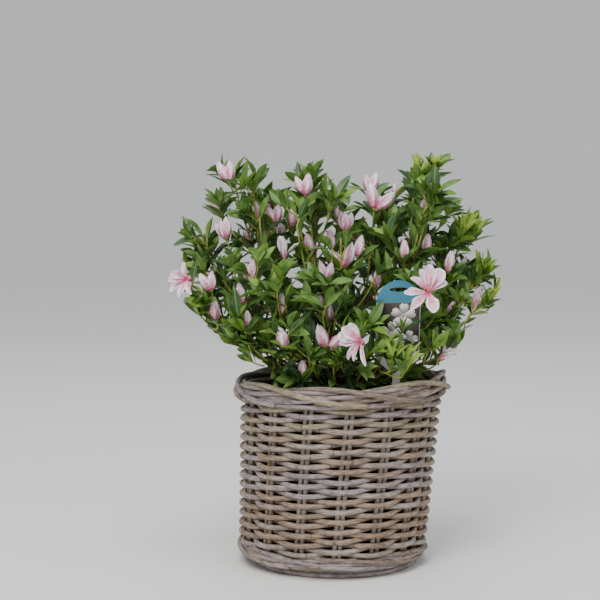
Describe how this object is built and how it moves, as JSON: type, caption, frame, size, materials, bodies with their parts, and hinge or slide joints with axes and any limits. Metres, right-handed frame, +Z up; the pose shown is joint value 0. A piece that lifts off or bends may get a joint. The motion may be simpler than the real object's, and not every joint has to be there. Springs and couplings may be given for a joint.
{
  "type": "azalea shrub in a woven rattan planter",
  "caption": "Potted flowering azalea: a fan of leafy shoots with striped buds and open flowers, in a round woven rattan planter with plaited rim and foot.",
  "frame": {"origin": "centre of the basket's flat underside, on the ground", "axes": "+Z up along the basket's axis; -Y is the front that the picture shows, with the tag and the open flowers; +X to the right seen from the front"},
  "size_m": [0.5305, 0.4082, 0.6695],
  "materials": {
    "rattan_base": "weathered grey-brown rattan, matt",
    "rattan_foot": "weathered rattan rods, plaited, matt",
    "rattan_weave": "weathered grey-beige rattan rods with straw and lilac-grey tones, matt",
    "rattan_rim": "weathered rattan rods, plaited, matt",
    "liner": "near-black planter liner, dull",
    "soil": "dark brown potting soil, rough",
    "bark": "fine grey-brown bark, matt",
    "young_bark": "reddish-brown young bark, matt",
    "tag_plastic": "teal plastic, satin",
    "foliage": "mid to dark green leaves, satin, with pink and white striped blossom",
    "young_foliage": "light yellow-green young leaves, satin"
  },
  "bodies": {
    "root": {"basket_base": "rattan_base", "basket_foot_border": "rattan_foot", "basket_weave": "rattan_weave", "basket_stakes_and_rim": "rattan_rim", "pot_liner": "liner", "soil": "soil", "trunk": "bark", "plant_tag": "tag_plastic", "bough_upper_left": "young_bark", "spray_upper_left": "foliage", "bough_upper_mid_left": "young_bark", "spray_upper_mid_left": "foliage", "bough_upper_mid": "young_bark", "spray_upper_mid": "foliage", "bough_upper_right": "young_bark", "spray_upper_right": "young_foliage", "bough_high_right": "young_bark", "spray_high_right": "young_foliage", "bough_far_right": "young_bark", "spray_far_right": "young_foliage", "bough_high_left": "young_bark", "spray_high_left": "foliage", "bough_far_left": "young_bark", "spray_far_left": "foliage", "bough_front_left": "young_bark", "spray_front_left": "foliage", "bough_front_mid": "young_bark", "spray_front_mid": "foliage", "bough_front_centre": "young_bark", "spray_front_centre": "foliage", "bough_front_right": "young_bark", "spray_front_right": "foliage", "bough_low_left": "young_bark", "spray_low_left": "foliage", "bough_front_low_left": "young_bark", "spray_front_low_left": "foliage", "bough_front_low": "young_bark", "spray_front_low": "foliage", "bough_low_right": "young_bark", "spray_low_right": "foliage", "bough_back_left": "young_bark", "spray_back_left": "foliage", "bough_back_mid": "young_bark", "spray_back_mid": "foliage", "bough_back_right": "young_bark", "spray_back_right": "young_foliage", "bough_back_low_left": "young_bark", "spray_back_low_left": "foliage", "bough_back_low_mid": "young_bark", "spray_back_low_mid": "foliage", "bough_back_low_right": "young_bark", "spray_back_low_right": "foliage"}
  },
  "joints": []
}
